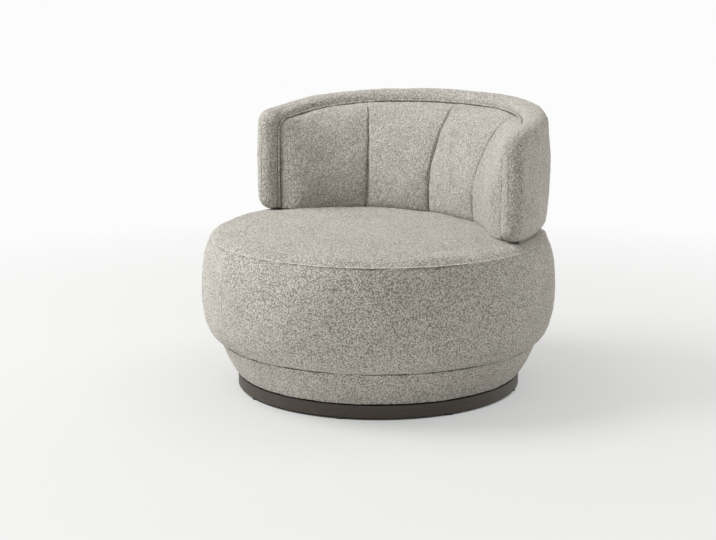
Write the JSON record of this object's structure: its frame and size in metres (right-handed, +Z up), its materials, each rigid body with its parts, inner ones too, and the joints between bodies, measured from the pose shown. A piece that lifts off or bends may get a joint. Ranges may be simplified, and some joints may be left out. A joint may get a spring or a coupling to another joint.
{
  "type": "tub chair",
  "caption": "Round tub chair on a swivel plinth, with a bulging drum seat, a half-round back that runs into the arms, and a channelled back cushion.",
  "frame": {"origin": "on the floor, on the swivel axis, at the middle of the drum", "axes": "+Z up, +Y towards the back, -Y towards the open front of the seat"},
  "size_m": [0.8609, 0.8608, 0.6892],
  "materials": {
    "boucle": "curly looped weave, matt",
    "dark_wood": "dark stain, satin",
    "plywood": "bare, hidden",
    "steel": "zinc plated, hidden",
    "ball_steel": "polished, hidden",
    "cage_brass": "rolled, hidden",
    "nylon_black": "matt",
    "nylon_white": "matt, hidden",
    "foam": "open-cell foam under the fabric, hidden",
    "webbing": "woven strap, hidden",
    "dust_cloth": "thin cloth, matt"
  },
  "bodies": {
    "base": {"floor_glides": "nylon_black", "plinth_ring": "dark_wood", "plinth_board": "plywood", "swivel_lower_plate": "steel", "lower_plate_screws": "steel", "pivot_bolt": "steel", "pivot_nut": "steel"},
    "ball_ring": {"ball_retainer": "cage_brass", "bearing_balls": "ball_steel"},
    "chair": {"swivel_upper_plate": "steel", "pivot_bushing": "nylon_white", "upper_plate_bolts": "steel", "base_panel": "plywood", "dust_cover": "dust_cloth", "base_screws": "steel", "drum_posts": "plywood", "waist_ring": "plywood", "drum_wall": "plywood", "seat_ring": "plywood", "ring_screws": "steel", "seat_webbing_long": "webbing", "seat_webbing_cross": "webbing", "drum_side_foam": "foam", "lower_band_foam": "foam", "seat_foam": "foam", "back_posts": "plywood", "back_bolts": "steel", "back_tee_nuts": "steel", "back_bottom_rail": "plywood", "back_top_rail": "plywood", "back_ribs": "plywood", "back_outer_panel": "plywood", "back_inner_panel": "plywood", "back_foam": "foam", "back_cushion_core_1": "foam", "back_cushion_core_2": "foam", "back_cushion_core_3": "foam", "back_cushion_core_4": "foam", "lower_band_cover": "boucle", "drum_side_cover": "boucle", "seat_cover": "boucle", "back_cover": "boucle", "rim_welt": "boucle", "back_cushion_cover": "boucle"}
  },
  "joints": [
    {"name": "swivel", "type": "hinge", "parent": "base", "child": "chair", "pos_m": [0, 0, 0.031], "axis": [0, 0, 1], "continuous": true},
    {"name": "ball_ring_turn", "type": "hinge", "parent": "base", "child": "ball_ring", "pos_m": [0, 0, 0.031], "axis": [0, 0, 1], "continuous": true}
  ],
  "couplings": [
    {"joint": "ball_ring_turn", "follows": "swivel", "ratio": 0.5}
  ]
}
